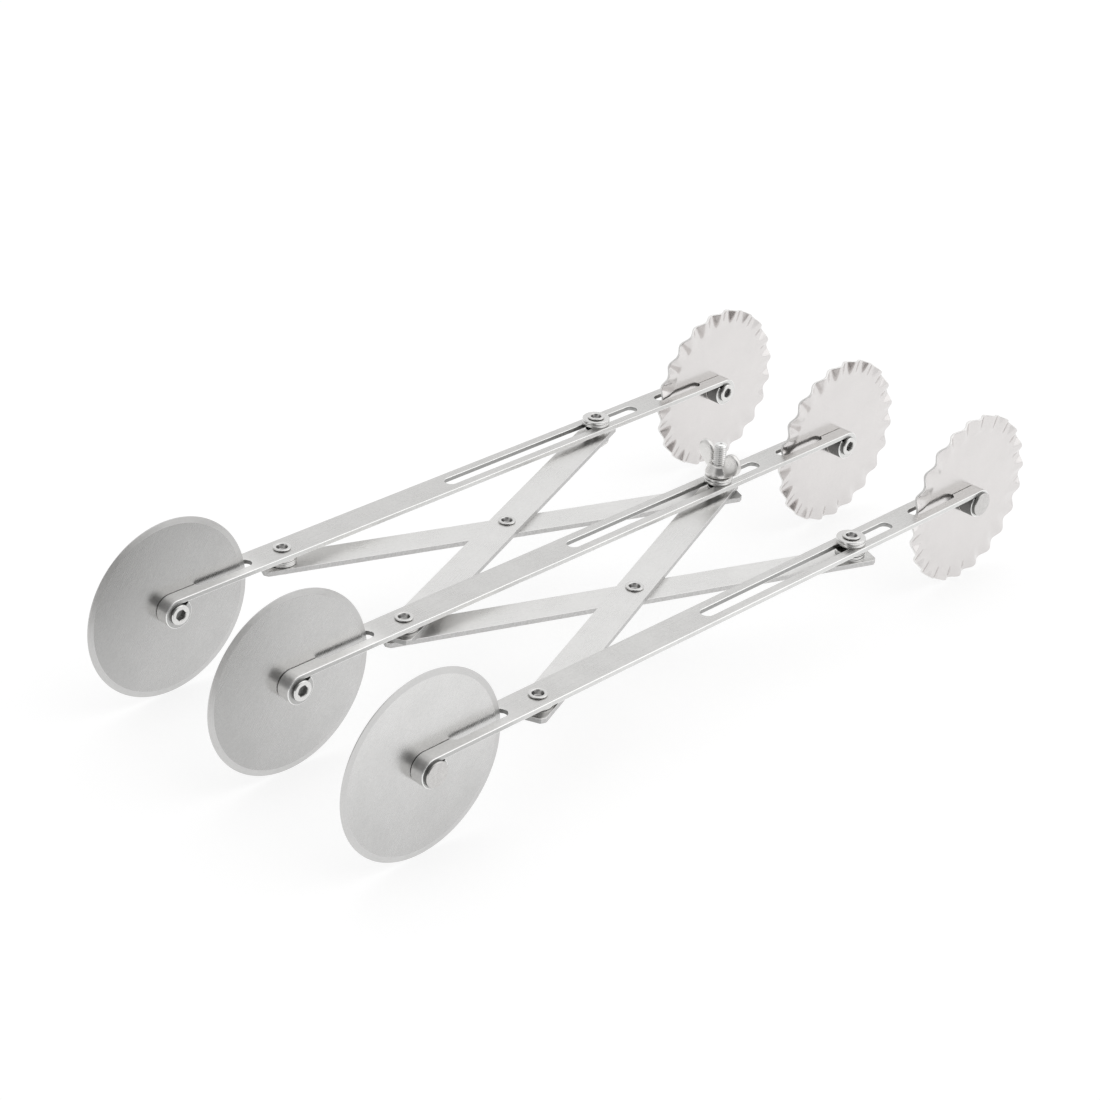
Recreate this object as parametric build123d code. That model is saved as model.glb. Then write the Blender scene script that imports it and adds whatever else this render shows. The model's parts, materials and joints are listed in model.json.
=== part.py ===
from build123d import *
import math
import os

# Expanding dough divider: three parallel bars on a scissor of four flat links,
# a plain cutting wheel at one end of each bar and a fluted one at the other.
# +X runs along the bars towards the fluted wheels, +Y to the far bar, +Z up.
# The origin is on the table, midway between the axles and under the middle bar.

# Driving dimensions, in millimetres
# Strip stock of the bars and links
strip_width = 10.0
strip_thickness = 1.6

# Scissor
bar_pitch = 53.3  # spacing of the bars as the part is stored
closed_pitch = 12.5  # spacing with the scissor shut
open_pitch = 124.0  # spacing with the scissor fully spread
link_length = 141.0  # between a link's end pivots
link_overhang = 6.8  # from an end pivot to the end of the link
link_corner = 1.2  # clip across each corner of a link

# Wheels
wheel_diameter = 55.0
wheel_thickness = 0.8
bevel_width = 1.8  # ground edge of a plain wheel
edge_thickness = 0.3  # what the grinding leaves at the rim
flute_count = 22
flute_height = 0.78  # crest of a flute above the wheel's middle plane
flute_reach = 5.3  # how far a flute runs in from the rim
flute_flat = 1.3  # width of a flute's crest at the rim
fluted_turns = {"far": 3.6, "middle": 15.5, "near": 4.8}  # degrees, as stored

# Axles: a flanged barrel and the socket screw that closes it
screw_diameter = 4.0
screw_clearance = 0.02
screw_end_gap = 0.2  # from the screw's end to the bottom of the barrel's bore
barrel_wall = 0.83
barrel_floor = 3.9  # closed end of a barrel, its flange included
axle_clearance = 0.05  # barrel in the rolled eye, and wheel on the barrel
axle_flange = 0.95  # how far a barrel's flange stands out past the barrel
axle_flange_height = 1.1
screw_lip = 0.25  # how far a screw's head stands out past the barrel
screw_head_height = 1.0
axle_chamfer = 0.25  # round the outer edge of flanges and screw heads
socket_width = 3.0  # across the flats
socket_depth = 1.6

# Bars
tail_gap = 0.12  # between the end of the rolled strip and the bar above it
rim_clearance = 2.0  # from a wheel's rim to the end of its fork slot
flute_clearance = 0.9  # from a flute's crest to the side of the fork slot
slit_clearance = 0.2  # from a wheel's face to the narrow slit beside the axle
fork_neck = 9.0  # from the axle to where the fork slot narrows
plain_land = 11.7  # from the plain fork slot to the fixed pivot
fluted_land = 10.0  # from the guide slot to the fluted fork slot
slot_spare = 6.6  # room left in the guide slot when the scissor is shut
slot_stop = 0.3  # room left there when it is fully spread

# Pivots
pin_diameter = 4.0  # rivet shanks and clamp bolt
pin_clearance = 0.05
slot_clearance = 0.1
running_gap = 0.05  # between flat faces that slide on each other
rivet_head_width = 1.5  # how far a head stands out past its shank
rivet_head_height = 1.0
rivet_rim_width = 0.5  # how far the flared end stands out past the shank
rivet_rim_height = 0.9
rivet_flare = 0.25  # how far the flared end closes in outside and opens inside
rivet_wall = 0.5  # left round the bore in a flared end
rivet_bore_depth = 2.4
washer_diameter = 9.0
washer_play = 0.15
collar_diameter = 6.5  # spacers hidden under the bars at the sliding pivots
slide_washer_thickness = 1.0
clamp_washer_thickness = 0.95
washer_pair = 2

# Clamp
bolt_reach = 12.8  # top of the bolt above the bars
bolt_tip_chamfer = 0.8
nut_base_diameter = 8.7
nut_base_chamfer = 0.55
nut_top_diameter = 8.4
nut_hub_height = 3.0
wing_span = 21.0
wing_height = 10.4
wing_thickness = 1.7
wing_tip_radius = 2.7
wing_inset = 2.6  # from the nut's axis to where the inner edge of a wing rises
wing_angle = 80.0  # degrees from +X, as stored

# Sizes that follow
wheel_radius = wheel_diameter / 2
axle_z = wheel_radius
screw_radius = screw_diameter / 2
barrel_bore = screw_radius + screw_clearance
barrel_radius = barrel_bore + barrel_wall
flange_radius = barrel_radius + axle_flange
screw_head_radius = barrel_radius + screw_lip
axle_hole = barrel_radius + axle_clearance
bore_bottom = strip_width / 2 + axle_flange_height - barrel_floor
eye_radius = axle_hole + strip_thickness
bar_top = axle_z + eye_radius
bar_bottom = bar_top - strip_thickness
pin_radius = pin_diameter / 2
pivot_hole = pin_radius + pin_clearance
slide_hole = pin_radius + slot_clearance
pin_head = pin_radius + rivet_head_width
slot_width = 2 * slide_hole
fork_width = wheel_thickness + 2 * (flute_height + flute_clearance)
slit_width = wheel_thickness + 2 * slit_clearance

# Three washers stand as high as one link, so the links lie level.
washer_thickness = (strip_thickness + running_gap) / 3
upper_washers = 2
lower_washers = upper_washers + 3
upper_top = bar_bottom - upper_washers * washer_thickness - 2 * running_gap
upper_bottom = upper_top - strip_thickness
lower_top = upper_bottom - running_gap
lower_bottom = lower_top - strip_thickness


def slide_at(pitch):
    """Distance of the sliding pivots from the fixed ones at a spacing of the bars."""
    return math.sqrt(link_length**2 - pitch**2)


fork_depth = wheel_radius + rim_clearance
slot_start = slide_at(open_pitch) - pin_radius - slot_stop
slot_end = slide_at(closed_pitch) + pin_radius + slot_spare
pivot_to_plain = fork_depth + plain_land
pivot_to_fluted = slot_end + fluted_land + fork_depth
axle_span = pivot_to_plain + pivot_to_fluted
plain_x = -axle_span / 2
fluted_x = axle_span / 2
pivot_x = plain_x + pivot_to_plain
slide_x = pivot_x + slide_at(bar_pitch)
link_angle = math.degrees(math.asin(bar_pitch / link_length))

bar_y = {"far": bar_pitch, "middle": 0.0, "near": -bar_pitch}
head_side = {"far": 1, "middle": 1, "near": -1}  # side of a bar with the barrels' flanges


def turned(*profile):
    """Solid of revolution about Z from points of (radius, height)."""
    return revolve(Plane.XZ * make_face(Polyline(*profile, close=True)), Axis.Z)


def ring(diameter, bore_radius, bottom, thickness):
    """Flat ring about Z."""
    face = Circle(diameter / 2) - Circle(bore_radius)
    return Pos(Z=bottom) * extrude(face, thickness)


def rolled_eye(inward):
    """Side view of a strip end rolled down round the axle and back up to the bar."""
    tail = math.asin((axle_hole - tail_gap) / eye_radius)
    far = 2 * eye_radius
    opening = Polygon(
        (0, 0),
        (inward * far * math.cos(tail), far * math.sin(tail)),
        (inward * far, far),
        (0, far),
        align=None,
    )
    return Circle(eye_radius) - Circle(axle_hole) - opening


def fork_cut(axle_x, inward):
    """Top view of the slot that takes a wheel, with its narrow slit at the axle."""
    slot = SlotOverall(fork_depth - fork_neck, fork_width)
    slot_middle = (fork_neck + fork_depth) / 2
    slit_from = -2 * eye_radius
    slit_to = fork_neck + fork_width / 2
    slit = Rectangle(slit_to - slit_from, slit_width)
    slit_middle = (slit_from + slit_to) / 2
    return Pos(axle_x + inward * slot_middle) * slot + Pos(axle_x + inward * slit_middle) * slit


def make_bar():
    """Slotted strip with both forked ends rolled into eyes for the axles."""
    side = Pos(0, (bar_top + bar_bottom) / 2) * Rectangle(axle_span, strip_thickness)
    side += Pos(plain_x, axle_z) * rolled_eye(1)
    side += Pos(fluted_x, axle_z) * rolled_eye(-1)
    strip = extrude(Plane.XZ * side, strip_width / 2, both=True)
    cuts = fork_cut(plain_x, 1) + fork_cut(fluted_x, -1)
    slot_middle = (slot_start + slot_end) / 2
    cuts += Pos(pivot_x + slot_middle) * SlotOverall(slot_end - slot_start, slot_width)
    cuts += Pos(pivot_x) * Circle(pivot_hole)
    return strip - extrude(cuts, 2 * bar_top)


def make_link(free_end_hole):
    """Flat link along +X from its fixed pivot, with clipped corners and three holes."""
    length = link_length + 2 * link_overhang
    plate = Pos(link_length / 2) * Rectangle(length, strip_width)
    plate = chamfer(plate.vertices(), link_corner)
    plate -= Circle(pivot_hole) + Pos(link_length / 2) * Circle(pivot_hole)
    plate -= Pos(link_length) * Circle(free_end_hole)
    return extrude(plate, strip_thickness)


def make_plain_wheel():
    """Disc about Y with a ground cutting edge."""
    half = wheel_thickness / 2
    flat = wheel_radius - bevel_width
    edge = edge_thickness / 2
    disc = turned(
        (axle_hole, -half),
        (flat, -half),
        (wheel_radius, -edge),
        (wheel_radius, edge),
        (flat, half),
        (axle_hole, half),
    )
    return Rot(X=-90) * disc


def make_fluted_wheel():
    """Disc about Y pressed into flat-sided flutes that grow from the flute circle to the rim."""
    inner = wheel_radius - flute_reach
    half_wave = math.pi / flute_count
    half_flat = flute_flat / wheel_diameter
    faces_at = (-wheel_thickness / 2, wheel_thickness / 2)

    def root(i, side):
        """Corner on the flute circle where flute number i begins."""
        angle = i * half_wave
        return Vector(inner * math.cos(angle), side, inner * math.sin(angle))

    def rim(i, end, side):
        """Corner at the rim, at either end of the crest of flute number i."""
        angle = (i + 0.5) * half_wave + end * half_flat
        height = (-1) ** i * flute_height + side
        return Vector(wheel_radius * math.cos(angle), height, wheel_radius * math.sin(angle))

    def flat_face(*corners):
        return Face(Wire.make_polygon(corners))

    low, high = faces_at
    faces = []
    for side in faces_at:
        faces.append(flat_face(*[root(i, side) for i in range(2 * flute_count)]))
    for i in range(2 * flute_count):
        for side in faces_at:
            faces.append(flat_face(root(i, side), rim(i, -1, side), rim(i, 1, side), root(i + 1, side)))
            faces.append(flat_face(rim(i, 1, side), rim(i + 1, -1, side), root(i + 1, side)))
        faces.append(flat_face(rim(i, -1, low), rim(i, 1, low), rim(i, 1, high), rim(i, -1, high)))
        faces.append(flat_face(rim(i, 1, low), rim(i + 1, -1, low), rim(i + 1, -1, high), rim(i, 1, high)))
    return Solid(Shell(faces)) - Rot(X=90) * Cylinder(axle_hole, 2 * wheel_thickness)


def make_barrel():
    """Flanged barrel about Y with its flange on +Y, bored blind for the screw."""
    seat = strip_width / 2
    face = seat + axle_flange_height
    end = -seat + axle_clearance
    body = turned(
        (0, face),
        (flange_radius - axle_chamfer, face),
        (flange_radius, face - axle_chamfer),
        (flange_radius, seat),
        (barrel_radius, seat),
        (barrel_radius, end),
        (barrel_bore, end),
        (barrel_bore, bore_bottom),
        (0, bore_bottom),
    )
    return Rot(X=-90) * body


def make_screw():
    """Low-headed socket screw about Y with its head on -Y."""
    seat = -strip_width / 2
    face = seat - screw_head_height
    end = bore_bottom - screw_end_gap
    body = turned(
        (0, face),
        (screw_head_radius - axle_chamfer, face),
        (screw_head_radius, face + axle_chamfer),
        (screw_head_radius, seat),
        (screw_radius, seat),
        (screw_radius, end),
        (0, end),
    )
    socket = RegularPolygon(socket_width / 2, 6, major_radius=False)
    body -= Pos(Z=face) * extrude(socket, socket_depth)
    return Rot(X=-90) * body


def make_rivet(bottom, top):
    """Tubular rivet about Z: a flat head below, a flared rim round its bore on top."""
    crown = top + rivet_rim_height
    rim = pin_radius + rivet_rim_width
    bore = pin_radius - rivet_wall
    return turned(
        (0, bottom - rivet_head_height),
        (pin_head, bottom - rivet_head_height),
        (pin_head, bottom),
        (pin_radius, bottom),
        (pin_radius, top),
        (rim, top),
        (rim - rivet_flare, crown),
        (bore + rivet_flare, crown),
        (bore, crown - rivet_rim_height),
        (bore, crown - rivet_bore_depth),
        (0, crown - rivet_bore_depth),
    )


def washer_stack(diameter, bottom, thickness, count):
    """Washers lying on each other about Z, the lowest one on the given height."""
    bore = pin_radius + washer_play
    return [ring(diameter, bore, bottom + i * thickness, thickness) for i in range(count)]


def make_bolt():
    """Clamp bolt about Z, its head under the lower link."""
    head_top = lower_bottom - running_gap
    tip = bar_top + bolt_reach
    return turned(
        (0, head_top - rivet_head_height),
        (pin_head, head_top - rivet_head_height),
        (pin_head, head_top),
        (pin_radius, head_top),
        (pin_radius, tip - bolt_tip_chamfer),
        (pin_radius - bolt_tip_chamfer, tip),
        (0, tip),
    )


def make_wing_nut():
    """Wing nut about Z, standing on its base, with its wings along X."""
    base = nut_base_diameter / 2
    top = nut_top_diameter / 2
    hub = turned(
        (0, 0),
        (base - nut_base_chamfer, 0),
        (base, nut_base_chamfer),
        (top, nut_hub_height),
        (0, nut_hub_height),
    )
    root = Rectangle(top - wing_inset, nut_hub_height - nut_base_chamfer)
    root = Pos((wing_inset + top) / 2, (nut_base_chamfer + nut_hub_height) / 2) * root
    tip = Pos(wing_span / 2 - wing_tip_radius, wing_height - wing_tip_radius) * Circle(wing_tip_radius)
    ear = make_hull(root.edges() + tip.edges())
    wing = extrude(Plane.XZ * ear, wing_thickness / 2, both=True)
    nut = hub + wing + Rot(Z=180) * wing
    return nut - Cylinder(pivot_hole, 2 * wing_height)


parts = {}
bar = make_bar()
plain_wheel = make_plain_wheel()
fluted_wheel = make_fluted_wheel()
barrel = make_barrel()
screw = make_screw()
for name, y in bar_y.items():
    plain_axle = Pos(plain_x, y, axle_z)
    fluted_axle = Pos(fluted_x, y, axle_z)
    facing = Rot(Z=0 if head_side[name] > 0 else 180)
    parts[f"{name}_bar"] = Pos(Y=y) * bar
    parts[f"{name}_plain_wheel"] = plain_axle * plain_wheel
    parts[f"{name}_fluted_wheel"] = fluted_axle * Rot(Y=fluted_turns[name]) * fluted_wheel
    parts[f"{name}_axle_barrels"] = [plain_axle * facing * barrel, fluted_axle * facing * barrel]
    parts[f"{name}_axle_screws"] = [plain_axle * facing * screw, fluted_axle * facing * screw]

# Links: the far pair joins the far and middle bars, the near pair the middle and near ones.
# The upper links run towards the far side, the lower ones towards the near side.
link = make_link(pivot_hole)
loose_link = make_link(slide_hole)
outwards = Rot(Z=link_angle)
inwards = Rot(Z=-link_angle)
parts["far_upper_link"] = Pos(pivot_x, bar_y["middle"], upper_bottom) * outwards * link
parts["far_lower_link"] = Pos(pivot_x, bar_y["far"], lower_bottom) * inwards * link
parts["near_upper_link"] = Pos(pivot_x, bar_y["near"], upper_bottom) * outwards * loose_link
parts["near_lower_link"] = Pos(pivot_x, bar_y["middle"], lower_bottom) * inwards * link

# Fixed pivots, each rivet held by its bar
lowest = {"far": lower_bottom, "middle": lower_bottom, "near": upper_bottom}
stack = {"far": lower_washers, "middle": upper_washers, "near": upper_washers}
for name, y in bar_y.items():
    here = Pos(pivot_x, y)
    parts[f"{name}_pivot_rivet"] = here * make_rivet(lowest[name] - running_gap, bar_top)
    height = stack[name] * washer_thickness
    washers = washer_stack(washer_diameter, bar_bottom - height, washer_thickness, stack[name])
    parts[f"{name}_pivot_washers"] = [here * washer for washer in washers]

# Crossings of the links
cross_x = (pivot_x + slide_x) / 2
cross_rivet = make_rivet(lower_bottom - running_gap, upper_top)
parts["far_cross_rivet"] = Pos(cross_x, bar_pitch / 2) * cross_rivet
parts["near_cross_rivet"] = Pos(cross_x, -bar_pitch / 2) * cross_rivet

# Sliding pivots of the outer bars
slide_top = bar_top + running_gap + washer_pair * slide_washer_thickness
slide_link = {"far": (upper_bottom, upper_top), "near": (lower_bottom, lower_top)}
under_link = {"far": washer_pair, "near": 0}  # thick washers between the link and the rivet's head
spacer = {"far": (collar_diameter, upper_washers), "near": (washer_diameter, lower_washers)}
for name, (link_bottom, link_top) in slide_link.items():
    here = Pos(slide_x, bar_y[name])
    seat = link_bottom - under_link[name] * slide_washer_thickness
    parts[f"{name}_slide_rivet"] = here * make_rivet(seat, slide_top)
    washers = washer_stack(washer_diameter, bar_top + running_gap, slide_washer_thickness, washer_pair)
    washers += washer_stack(washer_diameter, seat, slide_washer_thickness, under_link[name])
    parts[f"{name}_slide_washers"] = [here * washer for washer in washers]
    diameter, count = spacer[name]
    spacers = washer_stack(diameter, link_top, washer_thickness, count)
    parts[f"{name}_slide_spacers"] = [here * washer for washer in spacers]

# Clamp on the middle bar's sliding pivot
here = Pos(slide_x)
clamp_top = bar_top + running_gap + washer_pair * clamp_washer_thickness
parts["clamp_bolt"] = here * make_bolt()
washers = washer_stack(washer_diameter, bar_top + running_gap, clamp_washer_thickness, washer_pair)
parts["clamp_washers"] = [here * washer for washer in washers]
spacers = washer_stack(collar_diameter, upper_top + running_gap, washer_thickness, upper_washers)
parts["clamp_spacers"] = [here * washer for washer in spacers]
parts["wing_nut"] = Pos(slide_x, 0, clamp_top + running_gap) * Rot(Z=wing_angle) * make_wing_nut()

os.makedirs("parts", exist_ok=True)
for name, shape in parts.items():
    solids = shape if isinstance(shape, list) else [shape]
    export_step(Compound(children=solids) if len(solids) > 1 else solids[0], f"parts/{name}.step")
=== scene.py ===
import json
import math

import bmesh
import bpy
from mathutils import Matrix, Vector
from mathutils.geometry import tessellate_polygon


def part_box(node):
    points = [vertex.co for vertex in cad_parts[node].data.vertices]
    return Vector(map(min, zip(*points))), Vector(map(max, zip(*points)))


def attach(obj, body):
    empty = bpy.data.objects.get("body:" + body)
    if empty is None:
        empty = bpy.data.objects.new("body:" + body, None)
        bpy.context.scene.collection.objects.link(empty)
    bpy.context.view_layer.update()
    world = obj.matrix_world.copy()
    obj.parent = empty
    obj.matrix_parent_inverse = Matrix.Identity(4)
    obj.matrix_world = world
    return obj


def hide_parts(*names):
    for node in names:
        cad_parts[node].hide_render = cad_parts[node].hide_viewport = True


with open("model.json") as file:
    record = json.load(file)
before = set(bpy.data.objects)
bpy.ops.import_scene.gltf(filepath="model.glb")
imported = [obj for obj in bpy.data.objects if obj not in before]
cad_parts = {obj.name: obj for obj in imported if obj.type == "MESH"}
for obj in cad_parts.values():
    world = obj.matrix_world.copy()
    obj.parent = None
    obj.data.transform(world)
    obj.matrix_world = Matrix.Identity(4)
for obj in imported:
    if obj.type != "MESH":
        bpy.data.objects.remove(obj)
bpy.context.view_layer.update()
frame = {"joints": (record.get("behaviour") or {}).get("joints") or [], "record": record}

# Expanding dough divider in bright stainless steel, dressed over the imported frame.
# Lengths are in millimetres, and a mesh is scaled to metres when it is made.
MM = 0.001
SIDES = ("far", "middle", "near")
ENDS = ("plain", "fluted")
scene = bpy.context.scene


def low(node):
    """Lowest corner of a CAD node."""
    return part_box(node)[0] / MM


def high(node):
    """Highest corner of a CAD node."""
    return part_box(node)[1] / MM


def extent(node):
    return high(node) - low(node)


def centre(node):
    return (low(node) + high(node)) / 2


joints = {joint["name"]: joint for joint in frame["joints"]}
bodies = frame["record"]["behaviour"]["bodies"]
body_of = {node: body for body, nodes in bodies.items() for node in nodes}


def spot(name):
    """Where a joint is."""
    return Vector(joints[name]["pos_m"]) / MM


# Sizes read from the frame
strip_width = extent("middle_bar").y
strip_thickness = extent("far_upper_link").z
bar_top = high("middle_bar").z
bar_bottom = bar_top - strip_thickness
eye_radius = extent("middle_bar").z / 2
axle_hole = eye_radius - strip_thickness
wheel_radius = min(extent("middle_plain_wheel").xz) / 2
wheel_thickness = extent("middle_plain_wheel").y
flute_height = (extent("middle_fluted_wheel").y - wheel_thickness) / 2
plain_x = spot("middle_plain_roll").x
fluted_x = spot("middle_fluted_roll").x
pivot_x = spot("spread").x
half_link = (spot("far_crossing") - spot("spread")).xy
link_length = 2 * half_link.length
link_angle = math.atan2(half_link.y, half_link.x)
fold, spread = (link_angle + math.radians(a) for a in joints["spread"]["range_deg"])
flange_radius = extent("middle_axle_barrels").z / 2
flange_face = high("middle_axle_barrels").y
screw_head = extent("middle_axle_screws").z / 2
screw_face = -low("middle_axle_screws").y
screw_end = high("middle_axle_screws").y
nut_base = extent("wing_nut").x / 2
slide_washer = extent("near_slide_washers").z / 2

# Bars and links
half_width = strip_width / 2
bar_edge = 0.22  # rounding along the cut edges
link_edge = 0.12
link_overhang = 6.8
link_corner = 1.2
link_soft = 0.6  # rounding at both ends of a cut corner
pin_radius = 2.0
pivot_hole = 2.05
slide_hole = 2.1
slot_stop = 0.3
slot_spare = 6.6
fork_neck = 9.0
fork_depth = wheel_radius + 2.0
fork_room = 0.9
fork_width = wheel_thickness + 2 * (flute_height + fork_room)
slit_room = 0.26
slit_width = wheel_thickness + slit_room
tail_gap = 0.12
roll_steps = 46
zone_margin = 1.0  # how far the walls of a hole lie inside a strip's outline
wall_normal = 0.12  # a wall's normal has at most this along Z
flat_normal = 0.97  # and a flat face's at least this

# Wheels
disc_steps = 240
bevel_width = 1.8
edge_thickness = 0.3
bore_soft, bevel_soft, edge_soft = 0.1, 0.3, 0.06  # roundings of a plain wheel
flute_count = 22
flute_reach = 5.3
flute_flat = 1.3
flute_fold = 0.9  # share of a crest taken by the bend at its edge
flute_start = 0.72  # width of a flank where it starts, as a share of its width at the rim
flute_swell = 0.75  # power by which a flute rises from where it starts
flute_blend = 0.1  # share of the reach over which the rise sets in
flute_rings = 14
flute_lean = 0.4  # lean of the grain from X, in radians
flat_rings = (8, 14, 19)  # radii of rings of points on the flat middle
early_rings = (1.2, 0.6, 0.2)  # distances of rings of points from where the flutes start
soft_rim = 0.14  # rounding of the rim
rim_knee = 0.3  # share of it at which the rounding bends
rim_share = 0.8  # share of it that counts as rim
fluted_turns = {"far": 3.6, "middle": 15.5, "near": 4.8}  # degrees

# Axles
axle_clearance = 0.05
barrel_radius = axle_hole - axle_clearance
barrel_bore = 2.02
flange_dome = 0.06  # how far the flange falls from its middle to its edge
head_edge = 0.25
head_wall = 0.35  # a head's wall has a normal with less than this along the axle
screw_gap = 0.2
screw_turns = {"plain": 0.4, "fluted": 2.1}  # radians
socket_width = 3.0
socket_flats = 6
socket_depth = 1.6
socket_dip = 0.3  # how far the middle of the socket's floor lies below its edge
socket_lip = 0.2  # height of the chamfer at its mouth
socket_mouth = 1.2  # width of the mouth, as a share of the socket's
socket_zone = 1.1

# Rivets and washers
rivet_head = pin_radius + 1.5
rivet_head_height = 1.0
head_soft, head_rim = 0.35, 0.12  # roundings of the head's lower and upper edge
rivet_rim_height = 0.9
rivet_lip = pin_radius + 0.7  # rolled rim
rivet_lip_height = 0.6
rivet_lip_foot = 0.2  # height of the rim's lower edge
rivet_mouth = 1.75  # radius of the bore at the top
rivet_bore = 1.3  # and at the bottom
rivet_bore_depth = 1.4
washer_bore = pin_radius + 0.15
washer_edge = 0.28  # largest rounding of a washer's edges
washer_play = 0.1  # how far a washer lies off the middle of its stack
washer_gap = 0.02
washer_turn = 2.4  # radians from one washer's play to the next
top_normal = 0.7  # a top's normal has more than this along Z

# Clamp stud
thread_pitch = 0.7
thread_depth = 0.3
thread_length = 11.5
thread_rows = 14  # rows of points to a turn
thread_gap = 0.02
stud_gap = 0.05
crest_rise, crest_drop = 1.25, 0.1  # a tooth's rise, cut flat at its crest and root
tip_drop = 0.12
tip_flat = 1.15  # radius of the tip where its dome ends
tip_height = 1.0
mark_radius = 0.45  # centre mark
mark_depth = 0.5
# height of the stud's tip that takes a painted highlight
tip_highlight_height = 0.7

# Wing nut
nut_gap = 0.02
nut_bore = pivot_hole + 0.05
nut_foot = 0.55
nut_shoulder = 1.6  # height up to which the hub is round and straight
nut_collar = 3.1  # radius of the hub's top
nut_hub = 4.1
nut_voxel = 0.13
nut_smoothing = 90
wing_reach = 9.9
wing_rise = 9.5
wing_thickness = 2.0
wing_edge = 0.7
wing_tip = 3.5
wing_inset = 2.6
wing_angle = 80.0
wing_steps = 30

# All pieces
round_steps = 96
hole_steps = 48
zone_slack = 0.1  # slack when faces are told apart by their place
grain_radius = 1.0  # smallest radius on which grain is measured


def rounded(corners, closed=True, step=12.0):
    """Points along a line of corners (x, y, radius), each corner rounded by its radius."""
    points = []
    count = len(corners)
    for i, (x, y, radius) in enumerate(corners):
        here = Vector((x, y))
        at_end = not closed and i in (0, count - 1)
        if radius == 0 or at_end:
            points.append(here)
            continue
        back = (Vector(corners[i - 1][:2]) - here).normalized()
        ahead = (Vector(corners[(i + 1) % count][:2]) - here).normalized()
        turn = math.pi - back.angle(ahead)
        middle = here + (back + ahead).normalized() * radius / math.cos(turn / 2)
        arm = here + back * radius * math.tan(turn / 2) - middle
        sweep = turn if back.x * ahead.y - back.y * ahead.x < 0 else -turn
        pieces = max(2, math.ceil(math.degrees(turn) / step))
        for k in range(pieces + 1):
            points.append(middle + Matrix.Rotation(sweep * k / pieces, 2) @ arm)
    return points


def arc(x, y, radius, start, end, pieces):
    """Points on an arc, angles in radians."""
    angles = [start + (end - start) * k / pieces for k in range(pieces + 1)]
    return [Vector((x + radius * math.cos(a), y + radius * math.sin(a))) for a in angles]


def hole(x, radius):
    """Round hole as a clockwise loop."""
    return arc(x, 0, radius, 0, -2 * math.pi, hole_steps)[:-1]


def slot_hole(start, end, width):
    """Round-ended slot as a clockwise loop."""
    r = width / 2
    first = arc(start + r, 0, r, -math.pi / 2, -3 * math.pi / 2, hole_steps // 2)
    last = arc(end - r, 0, r, math.pi / 2, -math.pi / 2, hole_steps // 2)
    return first + last


def inset(loop, distance):
    """The loop moved into the material, which lies on its left."""
    moved = []
    for i, here in enumerate(loop):
        back = (here - loop[i - 1]).normalized()
        ahead = (loop[(i + 1) % len(loop)] - here).normalized()
        n1 = Vector((-back.y, back.x))
        n2 = Vector((-ahead.y, ahead.x))
        moved.append(here + (n1 + n2) / (1 + n1.dot(n2)) * distance)
    return moved


def plate(loops, thickness, radius, steps=4):
    """Flat plate on Z = 0 from an outer loop and holes, with rounded edges."""
    quarter = [math.pi / 2 * k / steps for k in range(steps + 1)]
    levels = [(radius * (1 - math.sin(a)), radius * (1 - math.cos(a))) for a in quarter]
    levels += [(step, thickness - height) for step, height in reversed(levels)]
    verts, faces, caps = [], [], [[], []]
    for loop in loops:
        start = len(verts)
        count = len(loop)
        for step, height in levels:
            verts += [Vector((p.x, p.y, height)) for p in inset(loop, step)]
        for k in range(len(levels) - 1):
            a = start + k * count
            b = a + count
            for i in range(count):
                j = (i + 1) % count
                faces.append((a + i, a + j, b + j, b + i))
        caps[0].append(list(range(start, start + count)))
        caps[1].append(list(range(start + (len(levels) - 1) * count, start + len(levels) * count)))
    for cap in caps:
        flat = [i for ring in cap for i in ring]
        for triangle in tessellate_polygon([[verts[i] for i in ring] for ring in cap]):
            faces.append(tuple(flat[i] for i in triangle))
    return verts, faces


def skin(rings, closed=False):
    """Faces between rings of points. A ring of one point is a pole."""
    verts, starts = [], []
    for ring in rings:
        starts.append(len(verts))
        verts += ring
    count = max(len(ring) for ring in rings)
    pairs = [(k, k + 1) for k in range(len(rings) - 1)]
    if closed:
        pairs.append((len(rings) - 1, 0))
    faces = []
    for a, b in pairs:
        for i in range(count):
            j = (i + 1) % count
            if len(rings[a]) == 1:
                faces.append((starts[a], starts[b] + j, starts[b] + i))
            elif len(rings[b]) == 1:
                faces.append((starts[a] + i, starts[a] + j, starts[b]))
            else:
                faces.append((starts[a] + i, starts[a] + j, starts[b] + j, starts[b] + i))
    return verts, faces


def circle(radius, height, steps=round_steps, flats=0):
    """Ring of points about Z, or a point on the axis. With flats the ring is a polygon."""
    if radius == 0:
        return [Vector((0, 0, height))]
    ring = []
    for i in range(steps):
        angle = 2 * math.pi * i / steps
        r = radius
        if flats:
            side = 2 * math.pi / flats
            r = radius / math.cos((angle + side / 2) % side - side / 2)
        ring.append(Vector((r * math.cos(angle), r * math.sin(angle), height)))
    return ring


def turned(profile, closed=False, steps=round_steps):
    """Piece turned about Z from (radius, height) points. A third number gives a ring that many flats."""
    return skin([circle(point[0], point[1], steps, *point[2:]) for point in profile], closed)


def stood(shape):
    """A shape about Z, laid along Y."""
    verts, faces = shape
    return [Vector((v.x, v.z, -v.y)) for v in verts], faces


def ring_grain(corners):
    """Grain round Z: length round the axis and distance from it and along it."""
    angles = [math.atan2(c.y, c.x) for c in corners]
    first = max(angles)
    span = [a + 2 * math.pi if first - a > math.pi else a for a in angles]
    radius = max(c.xy.length for c in corners)
    return [(a * max(radius, grain_radius), c.xy.length + c.z) for a, c in zip(span, corners)]


def strip_grain(corners):
    """Grain along X."""
    return [(c.x, c.y + c.z) for c in corners]


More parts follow.
